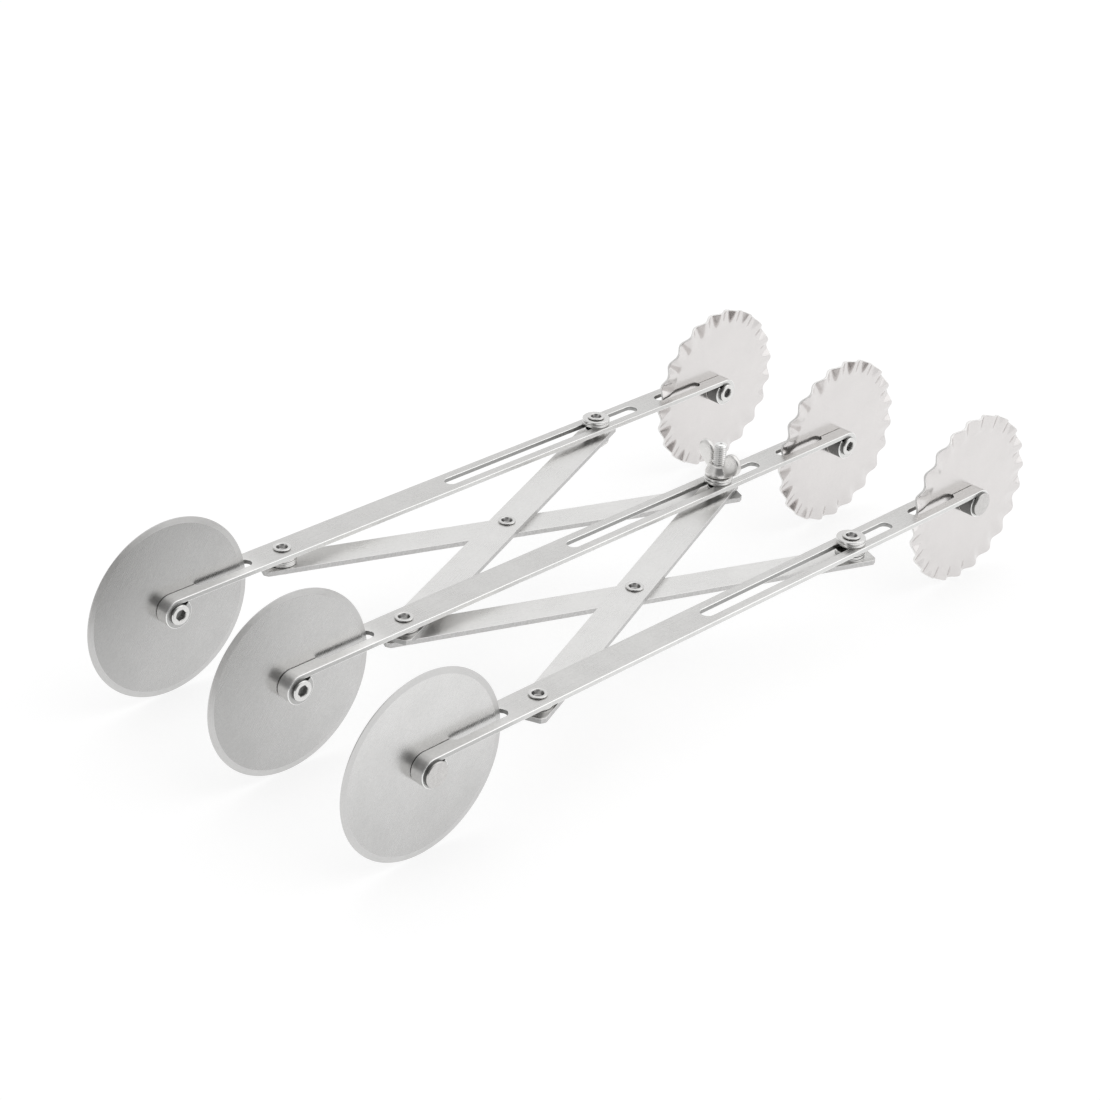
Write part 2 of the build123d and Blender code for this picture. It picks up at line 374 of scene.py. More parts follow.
def disc_grain(lean):
    """Straight grain across a disc that stands in XZ, leaning from X, and round its ground edge."""
    ca, sa = math.cos(lean), math.sin(lean)
    ground = wheel_radius - bevel_width - zone_slack

    def grain(corners):
        if min(math.hypot(c.x, c.z) for c in corners) > ground:
            return ring_grain([Vector((c.x, c.z, c.y)) for c in corners])
        return [(c.x * ca + c.z * sa, c.z * ca - c.x * sa + c.y) for c in corners]

    return grain


def make(name, shape, grain, node, material, place, sharp=40.0, bend=None, cuts=(), zones=()):
    """Object from a shape, with its grain stored as a UV map, put in place and tied to its CAD node.

    Each zone is a further material and a test for the faces that take it.
    """
    verts, faces = shape
    mesh = bpy.data.meshes.new(name)
    mesh.from_pydata(verts, [], faces)
    bm = bmesh.new()
    bm.from_mesh(mesh)
    bmesh.ops.recalc_face_normals(bm, faces=bm.faces)
    for x in cuts:
        everything = bm.verts[:] + bm.edges[:] + bm.faces[:]
        bmesh.ops.bisect_plane(bm, geom=everything, plane_co=(x, 0, 0), plane_no=(1, 0, 0))
    bm.normal_update()
    layer = bm.loops.layers.uv.new("grain")
    for face in bm.faces:
        face.smooth = True
        hits = [k + 1 for k, (_, test) in enumerate(zones) if test(face)]
        face.material_index = hits[0] if hits else 0
        for loop, uv in zip(face.loops, grain([loop.vert.co for loop in face.loops])):
            loop[layer].uv = uv
    if bend:
        for vert in bm.verts:
            vert.co = bend(vert.co)
    bm.to_mesh(mesh)
    bm.free()
    mesh.transform(place.to_3x3().to_4x4() @ Matrix.Scale(MM, 4))
    mesh.set_sharp_from_angle(angle=math.radians(sharp))
    for used in [material] + [zone[0] for zone in zones]:
        mesh.materials.append(used)
    ob = bpy.data.objects.new(name, mesh)
    scene.collection.objects.link(ob)
    ob.location = place.translation
    bpy.context.view_layer.update()
    normals = ob.modifiers.new("even_normals", "WEIGHTED_NORMAL")
    normals.keep_sharp = True
    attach(ob, body_of[node])
    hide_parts(node)
    return ob


def at(x, y, z, turn=0.0, axis="Z"):
    """Place in the frame, in metres."""
    return Matrix.Translation(Vector((x, y, z)) * MM) @ Matrix.Rotation(turn, 4, axis)


def graph(tree):
    """Functions that add nodes to a node tree."""

    def add(kind, **settings):
        made = tree.nodes.new(kind)
        for key, value in settings.items():
            setattr(made, key, value)
        return made

    def join(source, target, slot):
        tree.links.new(source, target.inputs[slot])

    def ranged(source, from_low, from_high, to_low, to_high, kind="SMOOTHSTEP"):
        """A value carried from one range to another."""
        made = add("ShaderNodeMapRange", interpolation_type=kind)
        join(source, made, "Value")
        made.inputs["From Min"].default_value = from_low
        made.inputs["From Max"].default_value = from_high
        made.inputs["To Min"].default_value = to_low
        made.inputs["To Max"].default_value = to_high
        return made.outputs["Result"]

    def combine(operation, first, *others):
        """The first value with each of the others, which may be plain numbers."""
        for other in others:
            made = add("ShaderNodeMath", operation=operation)
            join(first, made, 0)
            if isinstance(other, (int, float)):
                made.inputs[1].default_value = other
            else:
                join(other, made, 1)
            first = made.outputs[0]
        return first

    return add, join, ranged, combine


# Values that all kinds of steel share
pattern_shift = (70, 110, 90)
noise_low, noise_high = 0.3, 0.7  # most of the noise lies between these
cloud_size = 13 * MM
speck_size = 0.7 * MM
fine_share = 0.6  # depth of the fine grain, as a share of the coarse grain's
rough_grain, rough_cloud = 0.2, 0.15  # how far grain and clouds change the roughness, as shares of it
scratch_angle = 0.55
scratch_size = (5, 0.09, 1)
scratch_low, scratch_high = 0.68, 0.76  # noise at which a scratch begins, and at which it is full
across_grain = 0.25  # turns from the grain to the way in which it spreads reflections
# roughness added where painted light or shade lies along the grain
shade_band_roughness = 0.12
bump_strength = 0.1
bump_height = 0.03 * MM


def steel(name, tone, rough, grain_size, depth, flow=0.0, cloud=0.04, mottle=0.02, scratch=0.0, shades=(),
          painted_fade=None):
    """Metal with a grain that runs along the first axis of the grain map.

    rough is its roughness, grain_size the length and width of its grain, and flow how far the grain
    spreads reflections. depth, cloud, mottle and scratch say how far grain, clouds, specks and scratches
    change the tone. Each entry of shades is a band of painted light or shade: where along the grain the
    tone starts to change, where it has changed, and the share of it there. The last argument makes a disc
    in XZ darken from one side to the other as painted shade: the angle of its bright side in degrees, its
    radius, and the share left on its dark side.
    """
    material = bpy.data.materials.new(name)
    material.use_nodes = True
    material.node_tree.nodes.clear()
    add, join, ranged, combine = graph(material.node_tree)

    def noise(source, size, detail, roughness):
        scaled = add("ShaderNodeVectorMath", operation="MULTIPLY")
        join(source, scaled, 0)
        scaled.inputs[1].default_value = [1 / s for s in size]
        made = add("ShaderNodeTexNoise")
        made.inputs["Scale"].default_value = 1.0
        made.inputs["Detail"].default_value = detail
        made.inputs["Roughness"].default_value = roughness
        join(scaled.outputs[0], made, "Vector")
        return made.outputs["Fac"]

    def around(source, amount):
        """Noise spread about zero."""
        return ranged(source, noise_low, noise_high, -amount, amount, kind="LINEAR")

    output = add("ShaderNodeOutputMaterial")
    shader = add("ShaderNodeBsdfPrincipled")
    join(shader.outputs["BSDF"], output, "Surface")
    shader.inputs["Metallic"].default_value = 1.0
    shader.inputs["Anisotropic"].default_value = flow
    shader.inputs["Anisotropic Rotation"].default_value = across_grain

    # Every object takes its own part of the pattern.
    grain = add("ShaderNodeUVMap", uv_map="grain").outputs["UV"]
    own = add("ShaderNodeObjectInfo").outputs["Random"]
    offset = add("ShaderNodeCombineXYZ")
    for axis in "XYZ":
        join(own, offset, axis)
    shift = add("ShaderNodeVectorMath", operation="MULTIPLY_ADD")
    join(offset.outputs[0], shift, 0)
    shift.inputs[1].default_value = pattern_shift
    join(grain, shift, 2)
    sheet = shift.outputs[0]
    solid = add("ShaderNodeTexCoord").outputs["Object"]

    along, across = grain_size
    coarse = noise(sheet, (along, across, 1), 5, 0.65)
    fine = noise(sheet, (along / 4, across / 3, 1), 3, 0.6)
    clouds = noise(solid, [cloud_size] * 3, 3, 0.55)
    specks = noise(solid, [speck_size] * 3, 3, 0.65)

    grains = combine("ADD", around(coarse, depth), around(fine, depth * fine_share))
    shade = combine("ADD", grains, around(specks, mottle), around(clouds, cloud), 1.0)
    rubbed = around(coarse, rough * rough_grain)
    if scratch:
        slanted = add("ShaderNodeVectorRotate", rotation_type="Z_AXIS")
        slanted.inputs["Angle"].default_value = scratch_angle
        join(sheet, slanted, "Vector")
        lines = noise(slanted.outputs[0], scratch_size, 1, 0.5)
        marks = ranged(lines, scratch_low, scratch_high, 1.0, 1.0 - scratch)
        shade = combine("MULTIPLY", shade, marks)
    # Bands of painted light or shade along the grain, with a little more roughness in them
    if shades:
        split = add("ShaderNodeSeparateXYZ")
        join(grain, split, 0)
        for start, end, share in shades:
            shade = combine("MULTIPLY", shade, ranged(split.outputs["X"], start, end, 1.0, share))
            rubbed = combine("ADD", rubbed, ranged(split.outputs["X"], start, end, 0.0, shade_band_roughness))
    # Painted shade: a disc darkens from its bright side to the other
    if painted_fade:
        angle, radius, share = painted_fade
        painted_bright_side = math.radians(angle)
        over_disc = add("ShaderNodeVectorMath", operation="DOT_PRODUCT")
        join(solid, over_disc, 0)
        over_disc.inputs[1].default_value = (math.cos(painted_bright_side), 0, math.sin(painted_bright_side))
        reach = radius * MM
        shade = combine("MULTIPLY", shade, ranged(over_disc.outputs["Value"], reach, -reach, 1.0, share))

    colour = add("ShaderNodeVectorMath", operation="SCALE")
    colour.inputs[0].default_value = tone
    join(shade, colour, "Scale")
    join(colour.outputs["Vector"], shader, "Base Color")
    join(combine("ADD", rubbed, around(clouds, rough * rough_cloud), rough), shader, "Roughness")

    bump = add("ShaderNodeBump")
    bump.inputs["Strength"].default_value = bump_strength
    bump.inputs["Distance"].default_value = bump_height
    join(fine, bump, "Height")
    join(bump.outputs["Normal"], shader, "Normal")
    if flow:
        tangent = add("ShaderNodeTangent", direction_type="UV_MAP", uv_map="grain")
        join(tangent.outputs["Tangent"], shader, "Tangent")
    return material


# Length and width of the grain
strip_fibre = (14, 0.3)
cut_fibre = (0.5, 3.0)
edge_fibre = (4, 0.4)

# Where the tone of a strip starts to change and where it has changed: painted light towards a bar's plain
# wheel,
# # painted shade in two steps round the eye at its fluted wheel, and painted shade towards the end of a link
# under a bar
plain_light_span = (plain_x + 34, plain_x + 22)
eye_shade_start = (fluted_x + 3, fluted_x + 8)
eye_shade_end = (fluted_x + 9, fluted_x + 13)
link_shade_span = (link_length - 13, link_length - 6)
plain_light_shares = {"far": 1.28, "middle": 1.32, "near": 1.05}  # painted light: tone of a bar beside its plain wheel, as a share


# Each bar has its own copy of one steel: painted light beside its plain wheel, painted shade in two steps
# round the eye at its fluted wheel
def bar_finish(side):
    shades = ((*plain_light_span, plain_light_shares[side]), (*eye_shade_start, 0.65), (*eye_shade_end, 0.5))
    return steel(f"bar_steel_{side}", (0.665, 0.66, 0.65), 0.30, strip_fibre, 0.018, flow=0.5, cloud=0.03,
                 mottle=0.05, scratch=0.06, shades=shades)


# Links take a lighter tone than the bars, though they are the same steel: painted light
def link_finish(name, shades=()):
    return steel(name, (0.79, 0.785, 0.775), 0.30, strip_fibre, 0.014, flow=0.5, cloud=0.02, mottle=0.03,
                 scratch=0.05, shades=shades)


bar_steels = {side: bar_finish(side) for side in SIDES}
link_steel = link_finish("link_steel")
# Painted shade towards the end of the far lower link, where it lies under a bar
link_painted_shade = link_finish("link_painted_shade", shades=((*link_shade_span, 0.5),))
# Rounded edges: polished, and lighter as a painted highlight; the stud's tip takes it too
edge_polish_and_highlight = steel("edge_polish_and_highlight", (0.92, 0.92, 0.91), 0.15, edge_fibre, 0.04)
# Cut walls of the bars, with painted shade beside the plain wheels
bar_cut = steel("bar_cut", (0.73, 0.73, 0.72), 0.34, cut_fibre, 0.04, mottle=0.06,
                shades=((*plain_light_span, 0.8),))
link_cut = steel("link_cut", (0.56, 0.555, 0.55), 0.36, cut_fibre, 0.05, mottle=0.12)
# Painted shade: dark walls in the forks, on the walls of axle heads, and on the tops of spacers
painted_shade_steel = steel("painted_shade_steel", (0.20, 0.20, 0.195), 0.40, cut_fibre, 0.05, mottle=0.08)
# Painted shade in the bores of rivets
bore_painted_shade = steel("bore_painted_shade", (0.50, 0.495, 0.49), 0.25, (3, 0.3), 0.05, mottle=0.06)
# Painted shade in the walls of holes, slots and slits, and in sockets
hole_painted_shade = steel("hole_painted_shade", (0.38, 0.38, 0.375), 0.36, cut_fibre, 0.05, mottle=0.08)
flute_steel = steel("flute_steel", (0.735, 0.714, 0.706), 0.20, (14, 0.4), 0.012, flow=0.2, cloud=0.02)
# Rim of a fluted wheel, lighter as a painted highlight
rim_painted_highlight = steel("rim_painted_highlight", (0.86, 0.85, 0.84), 0.5, edge_fibre, 0.04)
turned_steel = steel("turned_steel", (0.74, 0.735, 0.725), 0.18, (6, 0.1), 0.04, flow=0.3)
head_steel = steel("head_steel", (0.60, 0.59, 0.58), 0.24, (5, 0.12), 0.04, flow=0.2, mottle=0.07)
bright_plate = steel("bright_plate", (0.76, 0.75, 0.735), 0.30, (2.0, 2.0), 0.02, cloud=0.05)


def on_rounding(face):
    return wall_normal < abs(face.normal.z) < flat_normal


def on_wall(face):
    return abs(face.normal.z) <= wall_normal


def in_hole(face):
    """Walls of the holes, slots and slits of a strip."""
    return on_wall(face) and abs(face.calc_center_median().y) < half_width - zone_margin


def in_fork(face):
    """Walls of the slots and slits that a bar's wheels turn in."""
    return in_hole(face) and abs(face.calc_center_median().x) > fluted_x - fork_depth - zone_margin


# A strip's forks, holes and slots take painted shade, and its roundings a polished edge with a painted
# highlight; its cut walls keep their own tone
bar_zones = ((painted_shade_steel, in_fork), (hole_painted_shade, in_hole), (edge_polish_and_highlight, on_rounding), (bar_cut, on_wall))
link_zones = ((hole_painted_shade, in_hole), (link_cut, on_wall))


def fork(axle, end, tip):
    """Outline of a forked strip end, from its lower corner round the slit and slot to its upper corner."""
    s = slit_width / 2
    w = fork_width / 2
    near_x = axle - end * (fork_neck + w)
    far_x = axle - end * (fork_depth - w)
    mouth = math.asin(s / w)
    facing = 0 if end > 0 else math.pi
    lower = arc(near_x, 0, w, facing - mouth, facing - math.pi / 2, hole_steps // 6)
    bottom = arc(far_x, 0, w, facing - math.pi / 2, facing - 3 * math.pi / 2, hole_steps // 2)
    upper = arc(near_x, 0, w, facing - 3 * math.pi / 2, facing - 2 * math.pi + mouth, hole_steps // 6)
    first = [Vector((tip, -end * half_width)), Vector((tip, -end * s))]
    last = [Vector((tip, end * s)), Vector((tip, end * half_width))]
    return first + lower + bottom + upper + last


# The strip of a bar is cut flat, then both ends are rolled round the axles.
neutral = (axle_hole + eye_radius) / 2
wrap = 1.5 * math.pi + math.asin((axle_hole - tail_gap) / eye_radius)
rolled = neutral * wrap


def roll(point):
    """A point of the flat strip after the ends are rolled."""
    for axle, end in ((plain_x, -1), (fluted_x, 1)):
        over = (point.x - axle) * end
        if over > 0:
            angle = over / neutral
            r = axle_hole + point.z
            return Vector((axle + end * r * math.sin(angle), point.y, r * math.cos(angle) - axle_hole))
    return point


slot_from = pivot_x + link_length * math.cos(spread) - pin_radius - slot_stop
slot_to = pivot_x + link_length * math.cos(fold) + pin_radius + slot_spare
bar_outline = fork(fluted_x, 1, fluted_x + rolled) + fork(plain_x, -1, plain_x - rolled)
bar_holes = [hole(pivot_x, pivot_hole), slot_hole(slot_from, slot_to, 2 * slide_hole)]
bar_shape = plate([bar_outline] + bar_holes, strip_thickness, bar_edge)
roll_stops = [rolled * k / roll_steps for k in range(roll_steps)]
roll_cuts = [plain_x - s for s in roll_stops] + [fluted_x + s for s in roll_stops]
for side in SIDES:
    place = at(0, centre(f"{side}_bar").y, bar_bottom)
    make(f"bar_{side}", bar_shape, strip_grain, f"{side}_bar", bar_steels[side], place,
         bend=roll, cuts=roll_cuts, zones=bar_zones)

# Links
link_from, link_to = -link_overhang, link_length + link_overhang
link_outline = rounded([(x, y, link_soft) for x, y in (
    (link_from + link_corner, -half_width),
    (link_to - link_corner, -half_width),
    (link_to, -half_width + link_corner),
    (link_to, half_width - link_corner),
    (link_to - link_corner, half_width),
    (link_from + link_corner, half_width),
    (link_from, half_width - link_corner),
    (link_from, -half_width + link_corner),
)])
for side, level, start, lean, free_hole in (
    ("far", "upper", "middle", 1, pivot_hole),
    ("far", "lower", "far", -1, pivot_hole),
    ("near", "upper", "near", 1, slide_hole),
    ("near", "lower", "middle", -1, pivot_hole),
):
    node = f"{side}_{level}_link"
    holes = [hole(0, pivot_hole), hole(link_length / 2, pivot_hole), hole(link_length, free_hole)]
    link_shape = plate([link_outline] + holes, strip_thickness, link_edge)
    place = at(pivot_x, centre(f"{start}_bar").y, low(node).z, lean * link_angle)
    finish = link_painted_shade if node == "far_lower_link" else link_steel
    make(f"link_{side}_{level}", link_shape, strip_grain, node, finish, place, zones=link_zones)

# Plain wheels
wheel_face = wheel_thickness / 2
edge_face = edge_thickness / 2
disc_line = rounded([
    (axle_hole, -wheel_face, bore_soft),
    (wheel_radius - bevel_width, -wheel_face, bevel_soft),
    (wheel_radius, -edge_face, edge_soft),
    (wheel_radius, edge_face, edge_soft),
    (wheel_radius - bevel_width, wheel_face, bevel_soft),
    (axle_hole, wheel_face, bore_soft),
])
disc_shape = stood(turned(disc_line, closed=True, steps=disc_steps))
disc_tint = Vector((1.0, 0.995, 0.985))
disc_painted_lift = 1.1  # painted light on the bright side of a disc, as a share of its tone
disc_painted_fall = 0.8  # and painted shade on its dark side, as a share of that


def off_axle(face):
    """Distance of a wheel's or an axle's face from the middle of its axle."""
    middle = face.calc_center_median()
    return math.hypot(middle.x, middle.z)


def on_bevel(face):
    return off_axle(face) > wheel_radius - bevel_width


# Tone of a disc, which differs from wheel to wheel as painted shade; share of it on its ground edge, which
# differs as painted light; degrees from X to its bright side, where the painted shade is least; lean of its
# grain
for side, disc_tone_and_shade, ground_light_share, painted_bright_side, lean in (
    ("far", 0.525, 1.2, 320, 0.95),
    ("middle", 0.57, 1.12, 10, 0.9),
    ("near", 0.665, 0.97, 80, 1.0),
):
    tone = disc_tone_and_shade * disc_tint
    disc_steel = steel(f"disc_steel_{side}", tone * disc_painted_lift, 0.25, (12, 0.22), 0.022, flow=0.5, cloud=0.05,
                       mottle=0.03, scratch=0.10, painted_fade=(painted_bright_side, wheel_radius, disc_painted_fall))
    ground_steel = steel(f"ground_steel_{side}", tone * ground_light_share, 0.34, (7, 0.12), 0.05, flow=0.3)
    place = at(*spot(f"{side}_plain_roll"))
    make(f"plain_wheel_{side}", disc_shape, disc_grain(lean), f"{side}_plain_wheel", disc_steel, place,
         sharp=4.0, zones=((ground_steel, on_bevel),))

# Fluted wheels: flat disc, then crests that narrow and flanks that widen towards the rim
half_wave = math.pi / flute_count
flute_circle = wheel_radius - flute_reach
crest_at_rim = flute_flat / (2 * wheel_radius)
flute_rim = wheel_radius * math.cos(half_wave / 2 - crest_at_rim)


def soft_ramp(x, width):
    """Zero below zero and x above it, with a rounded bend."""
    if x < -width:
        return 0.0
    if x > width:
        return x
    return (x + width) ** 2 / (4 * width)


def flute_ring(radius, lift):
    """Ring of points on one face of a fluted wheel."""
    out = soft_ramp((radius - flute_circle) / flute_reach, flute_blend)
    grown = out ** flute_swell
    share = flute_start + (1 - flute_start) * min(out, 1.0)
    crest = half_wave / 2 + (crest_at_rim - half_wave / 2) * share
    flank = half_wave / 2 - crest
    bend = flute_fold * crest
    stops = [0, (crest - bend) / 2]
    stops += [crest - bend, crest - bend / 2, crest, crest + bend / 2, crest + bend]
    stops.append(half_wave / 2)
    ring = []
    for i in range(2 * flute_count):
        for offset in [-s for s in reversed(stops[1:])] + stops[:-1]:
            slope = (half_wave / 2 - abs(offset)) / flank
            height = slope - soft_ramp(slope - 1, bend / flank)
            angle = (i + 0.5) * half_wave + offset
            y = (-1) ** i * flute_height * grown * height + lift
            ring.append(Vector((radius * math.cos(angle), y, radius * math.sin(angle))))
    return ring


def on_rim(face):
    return off_axle(face) > flute_rim - rim_share * soft_rim


flute_radii = [axle_hole, axle_hole + bore_soft, *flat_rings]
flute_radii += [flute_circle - gap for gap in early_rings]
flute_radii += [flute_circle + flute_reach * k / flute_rings for k in range(1, flute_rings)]
rim_turns = [
    (flute_rim - soft_rim, 0),
    (flute_rim - soft_rim * rim_knee, soft_rim * rim_knee),
    (flute_rim, soft_rim),
]
front = [flute_ring(r, wheel_face) for r in flute_radii]
front += [flute_ring(r, wheel_face - drop) for r, drop in rim_turns]
rear = [flute_ring(r, -wheel_face) for r in flute_radii]
rear += [flute_ring(r, drop - wheel_face) for r, drop in rim_turns]
flute_shape = skin(front + rear[::-1], closed=True)
for side in SIDES:
    place = at(*spot(f"{side}_fluted_roll"), math.radians(fluted_turns[side]), "Y")
    make(f"fluted_wheel_{side}", flute_shape, disc_grain(flute_lean), f"{side}_fluted_wheel", flute_steel,
         place, sharp=60, zones=((rim_painted_highlight, on_rim),))

# Axles: barrels with a slightly domed flange, and socket screws
barrel_end = -half_width + axle_clearance
bore_bottom = screw_end + screw_gap
barrel_line = rounded([
    (0, flange_face, 0),
    (flange_radius * 0.6, flange_face - flange_dome / 3, 1.5),
    (flange_radius - head_edge, flange_face - flange_dome, 0.15),
    (flange_radius, flange_face - head_edge - flange_dome, 0.15),
    (flange_radius, half_width, 0.05),
    (barrel_radius, half_width, 0),
    (barrel_radius, barrel_end, 0.15),
    (barrel_bore, barrel_end, 0.1),
    (barrel_bore, bore_bottom, 0),
    (0, bore_bottom, 0),
], closed=False)
barrel_shape = stood(turned(barrel_line))
half_socket = socket_width / 2
socket_floor = screw_face - socket_depth
socket = [
    (0, socket_floor - socket_dip),
    (half_socket * 0.6, socket_floor - socket_dip / 3),
    (half_socket, socket_floor, socket_flats),
    (half_socket, screw_face - socket_lip, socket_flats),
    (half_socket * 1.05, screw_face - socket_lip / 2, socket_flats),
    (half_socket * socket_mouth, screw_face - 0.005),
]
screw_line = rounded([
    (half_socket * (socket_mouth + 0.04), screw_face, 0),
    (screw_head - head_edge, screw_face, 0.2),
    (screw_head, screw_face - head_edge, 0.15),
    (screw_head, half_width, 0.05),
    (pin_radius, half_width, 0),
    (pin_radius, -screw_end, 0.2),
    (0, -screw_end, 0),
], closed=False)
screw_shape = stood(turned(socket + [tuple(p) for p in screw_line]))


# The walls of the heads take painted shade, and the sockets too
def on_head_wall(face):
    return abs(face.normal.y) < head_wall and off_axle(face) > barrel_radius + zone_slack


def in_socket(face):
    return off_axle(face) < half_socket * socket_zone


for side in SIDES:
    facing = math.pi if side == "near" else 0.0
    for end in ENDS:
        place = at(*spot(f"{side}_{end}_roll"), facing)
        make(f"axle_barrel_{side}_{end}", barrel_shape, ring_grain, f"{side}_axle_barrels", head_steel, place,
             zones=((painted_shade_steel, on_head_wall),))
        spin = Matrix.Rotation(screw_turns[end], 4, "Y") @ Matrix.Rotation(math.pi, 4, "Z")
        make(f"axle_screw_{side}_{end}", screw_shape, ring_grain, f"{side}_axle_screws", turned_steel,
             place @ spin, zones=((painted_shade_steel, on_head_wall), (hole_painted_shade, in_socket)))


def rivet(node):
    """Tubular rivet of a CAD node's height: a flat head below, a rolled rim round its bore on top."""
    seat = extent(node).z - rivet_rim_height
    top = seat + rivet_lip_height
    bottom = top - rivet_bore_depth
    line = rounded([
        (0, bottom, 0),
        (rivet_bore, bottom, 0.3),
        (rivet_mouth, top, 0.3),
        (rivet_lip, top, 0.26),
        (rivet_lip, seat + rivet_lip_foot, 0.18),
        (pin_radius + 0.2, seat + 0.03, 0.05),
        (pin_radius, seat, 0),
        (pin_radius, rivet_head_height, 0),
        (rivet_head, rivet_head_height, head_rim),
        (rivet_head, 0, head_soft),
        (0, 0, 0),
    ], closed=False)
    return turned(line)


# The bore of a rivet takes painted shade
def in_bore(face):
    return face.calc_center_median().xy.length < rivet_mouth - zone_slack


for name in ("far_pivot", "middle_pivot", "near_pivot", "far_cross", "near_cross", "far_slide", "near_slide"):
    node = f"{name}_rivet"
    here = centre(node)
    make(f"rivet_{name}", rivet(node), ring_grain, node, turned_steel, at(here.x, here.y, low(node).z),
         zones=((bore_painted_shade, in_bore),))


def washer(outer, thickness):
    """Washer on Z = 0 with rounded edges."""
    soft = min(washer_edge, thickness / 3)
    line = [(washer_bore, 0), (outer, 0), (outer, thickness), (washer_bore, thickness)]
    return turned(rounded([(r, z, soft) for r, z in line], step=30), closed=True)


def on_top(face):
    return face.normal.z > top_normal


def stack(node, count, bottom, each, first=1):
    """Washers of a CAD node on each other, every one a little off the middle."""
    middle = centre(node)
    # The tops of spacers take painted shade
    zones = ((painted_shade_steel, on_top),) if node.endswith("spacers") else ()
    shape = washer(extent(node).x / 2 - washer_play, each - washer_gap)
    for k in range(count):
        drift = washer_turn * (first + k) + middle.x + middle.y
        x, y = middle.x + washer_play * math.cos(drift), middle.y + washer_play * math.sin(drift)
        place = at(x, y, bottom + k * each + washer_gap / 2)
        make(f"{node}_{first + k}", shape, ring_grain, node, turned_steel, place, zones=zones)


for node, count in (
    ("far_pivot_washers", 5),
    ("middle_pivot_washers", 2),
    ("near_pivot_washers", 2),
    ("near_slide_washers", 2),
    ("far_slide_spacers", 2),
    ("near_slide_spacers", 5),
    ("clamp_washers", 2),
    ("clamp_spacers", 2),
):
    stack(node, count, low(node).z, extent(node).z / count)
stack("far_slide_washers", 2, low("far_slide_washers").z, slide_washer)
stack("far_slide_washers", 2, high("far_slide_washers").z - 2 * slide_washer, slide_washer, first=3)

# Clamp stud: a plain foot, a thread, and a domed tip with a centre mark
stud_top = extent("clamp_bolt").z
thread_from = stud_top - thread_length
thread_rise = thread_length - tip_drop
foot = rounded([
    (0, 0, 0),
    (rivet_head, 0, head_soft),
    (rivet_head, rivet_head_height, head_rim),
    (pin_radius - stud_gap, rivet_head_height, 0),
    (pin_radius - stud_gap, thread_from, 0),
], closed=False)


def thread_ring(z):
    """Ring of points on the thread, held inside the dome of the tip."""
    from_dome = max(1 - (stud_top - z) / tip_height, 0)
    dome = tip_flat + (pin_radius - tip_flat) * math.sqrt(max(1 - from_dome ** 2, 0))
    ring = []
    for i, point in enumerate(circle(1.0, z)):
        wave = (z / thread_pitch - i / round_steps) % 1.0
        tooth = min(max(crest_rise * (1 - abs(2 * wave - 1)) - crest_drop, 0), 1)
        r = min(pin_radius - thread_gap - thread_depth * (1 - tooth), dome)
        ring.append(Vector((point.x * r, point.y * r, z)))
    return ring


# Faces of the tip round the centre mark, which take the painted highlight
def on_tip(face):
    middle = face.calc_center_median()
    return middle.z > stud_top - tip_highlight_height and middle.xy.length > mark_radius


rows = int(thread_rise / thread_pitch * thread_rows)
rings = [circle(r, z) for r, z in foot]
rings += [thread_ring(thread_from + thread_rise * k / rows) for k in range(rows + 1)]
for r, drop in ((1.2, 0.03), (0.62, 0), (mark_radius, 0.03), (0.3, 0.35), (0, mark_depth)):
    rings.append(circle(r, stud_top - drop))
here = centre("clamp_bolt")
place = at(here.x, here.y, low("clamp_bolt").z)
make("stud_clamp", skin(rings), ring_grain, "clamp_bolt", turned_steel, place, sharp=50,
     zones=((edge_polish_and_highlight, on_tip),))

# Wing nut: a turned hub and two wings, cast in one by remeshing
hub_verts, hub_faces = turned(rounded([
    (nut_bore, 0.3, 0.1),
    (nut_bore + 0.3, nut_gap, 0.1),
    (nut_base - nut_foot, nut_gap, 0.15),
    (nut_base, nut_foot, 0.3),
    (nut_base - 0.1, nut_shoulder, 0.8),
    (nut_collar, nut_hub - 0.2, 0.5),
    (nut_bore, nut_hub, 0.1),
]), closed=True)


def wing_outline():
    """Side view of one wing: out and up from the hub to a round tip."""
    tip_x, tip_z = wing_reach - wing_tip, wing_rise - wing_tip
    outer = nut_base - 0.2
    inner = nut_hub - 0.5

    def touch(x, z, side):
        """Angle on the tip circle where the edge from a root corner touches it."""
        away = math.hypot(x - tip_x, z - tip_z)
        return math.atan2(z - tip_z, x - tip_x) + side * math.acos(wing_tip / away)

    start, end = touch(outer, nut_foot, 1), touch(wing_inset, inner, -1)
    while end < start:
        end += 2 * math.pi
    root = [Vector((wing_inset, inner)), Vector((wing_inset, nut_foot)), Vector((outer, nut_foot))]
    return root + arc(tip_x, tip_z, wing_tip, start, end, wing_steps)


wing_verts, wing_faces = plate([wing_outline()], wing_thickness, wing_edge, steps=6)
nut_verts, nut_faces = list(hub_verts), list(hub_faces)
for wing_turn in (0, math.pi):
    base = len(nut_verts)
    stand_up = Matrix.Rotation(wing_turn, 3, "Z") @ Matrix.Rotation(math.pi / 2, 3, "X")
    nut_verts += [stand_up @ (v - Vector((0, 0, wing_thickness / 2))) for v in wing_verts]
    nut_faces += [tuple(base + i for i in f) for f in wing_faces]
place = at(spot("nut_turn").x, spot("nut_turn").y, low("wing_nut").z, math.radians(wing_angle))
nut = make("nut_wing", (nut_verts, nut_faces), strip_grain, "wing_nut", bright_plate, place)
nut.modifiers.clear()
cast = nut.modifiers.new("cast", "REMESH")
cast.mode = "VOXEL"
cast.voxel_size = nut_voxel * MM
cast.use_smooth_shade = True
smooth = nut.modifiers.new("smooth", "SMOOTH")
smooth.factor = 0.5
smooth.iterations = nut_smoothing
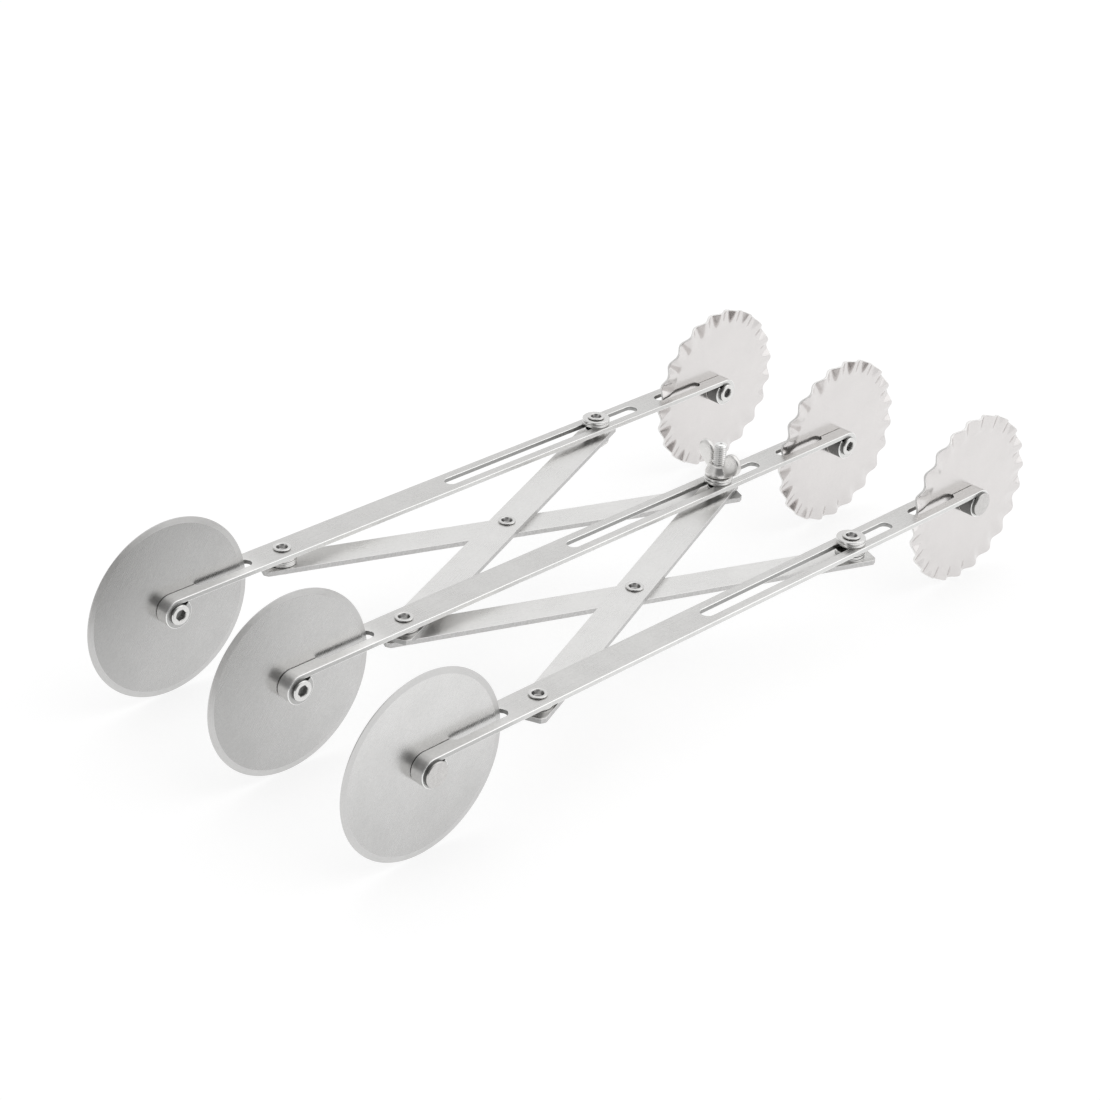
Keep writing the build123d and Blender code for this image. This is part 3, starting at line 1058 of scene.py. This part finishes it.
shaped = bpy.data.meshes.new_from_object(nut.evaluated_get(bpy.context.evaluated_depsgraph_get()))
nut.modifiers.clear()
nut.data = shaped
shaped.materials.clear()
shaped.materials.append(bright_plate)
nut_grain = shaped.uv_layers.new(name="grain")
for loop in shaped.loops:
    co = shaped.vertices[loop.vertex_index].co / MM
    nut_grain.data[loop.index].uv = (co.x + co.y, co.z + co.y)

# Floor: pale paper that shows as white and keeps a faint shadow. Its sizes are in metres.
floor_reach = 20.0
floor_drop = 0.0002
paper_tone = 0.35
paper_glow = 0.735
floor_mesh = bpy.data.meshes.new("floor")
floor_corners = [(x * floor_reach, y * floor_reach, 0) for x, y in ((-1, -1), (1, -1), (1, 1), (-1, 1))]
floor_mesh.from_pydata(floor_corners, [], [(0, 1, 2, 3)])
floor = bpy.data.objects.new("floor", floor_mesh)
floor.location.z = -floor_drop
scene.collection.objects.link(floor)
paper = bpy.data.materials.new("paper")
paper.use_nodes = True
paper.node_tree.nodes.clear()
add, join, ranged, combine = graph(paper.node_tree)
surface = add("ShaderNodeOutputMaterial")
total = add("ShaderNodeAddShader")
matte = add("ShaderNodeBsdfDiffuse")
matte.inputs["Color"].default_value = (paper_tone, paper_tone, paper_tone, 1)
glow = add("ShaderNodeEmission")
rays = add("ShaderNodeLightPath").outputs
seen = combine("MAXIMUM", rays["Is Camera Ray"], rays["Is Glossy Ray"], rays["Is Transmission Ray"])
join(combine("MULTIPLY", seen, paper_glow), glow, "Strength")
join(matte.outputs[0], total, 0)
join(glow.outputs[0], total, 1)
join(total.outputs[0], surface, "Surface")
floor_mesh.materials.append(paper)

# Room: an even pale dome with two dim corners, behind on the left and on the viewer's side
corner_edge, corner_core = 0.70, 0.93  # cosines of the angles from a corner's middle
world = bpy.data.worlds.new("studio")
scene.world = world
world.use_nodes = True
background = world.node_tree.nodes["Background"]
background.inputs["Color"].default_value = (1, 1, 1, 1)
add, join, ranged, combine = graph(world.node_tree)
direction = add("ShaderNodeTexCoord").outputs["Generated"]


def corner(towards, full, least):
    """Strength that falls from full to a share of it round one direction."""
    dot = add("ShaderNodeVectorMath", operation="DOT_PRODUCT")
    dot.inputs[1].default_value = Vector(towards).normalized()
    join(direction, dot, 0)
    return ranged(dot.outputs["Value"], corner_edge, corner_core, full, full * least)


behind = corner((-0.52, 0.60, 0.61), 0.9, 0.7)
before = corner((-0.60, -0.61, 0.45), 1.0, 0.2)
join(combine("MULTIPLY", behind, before), background, "Strength")


def softbox(name, towards, distance, size, radiance):
    """Square area light at a direction from the object, facing it. Its sizes are in metres."""
    lamp = bpy.data.lights.new(name, "AREA")
    lamp.shape = "SQUARE"
    lamp.size = size
    lamp.energy = radiance * math.pi * size * size
    ob = bpy.data.objects.new(name, lamp)
    scene.collection.objects.link(ob)
    back = Vector(towards).normalized()
    ob.location = back * distance
    ob.rotation_euler = back.to_track_quat("Z", "Y").to_euler()


softbox("overhead", (0.32, -0.05, 0.95), 1.3, 1.5, 0.36)
softbox("side", (0.63, -0.65, 0.42), 1.3, 0.9, 0.32)

# Camera, as it was fitted to the photograph
camera = bpy.data.cameras.new("camera")
camera.lens = 82.186
camera.sensor_width = 36.0
camera.clip_start = 0.01
camera.clip_end = 100.0
viewpoint = Vector((-479.4, -449.2, 383.5))
forward = Vector((0.6306, 0.6121, -0.4772)).normalized()
right_hand = Vector((0.7113, -0.7018, 0.0397))
right_hand = (right_hand - forward * right_hand.dot(forward)).normalized()
up = right_hand.cross(forward)
viewer = bpy.data.objects.new("camera", camera)
gaze = Matrix((right_hand, up, -forward)).transposed().to_4x4()
viewer.matrix_world = Matrix.Translation(viewpoint * MM) @ gaze
scene.collection.objects.link(viewer)
scene.camera = viewer
scene.view_settings.view_transform = "Standard"

bpy.context.view_layer.update()
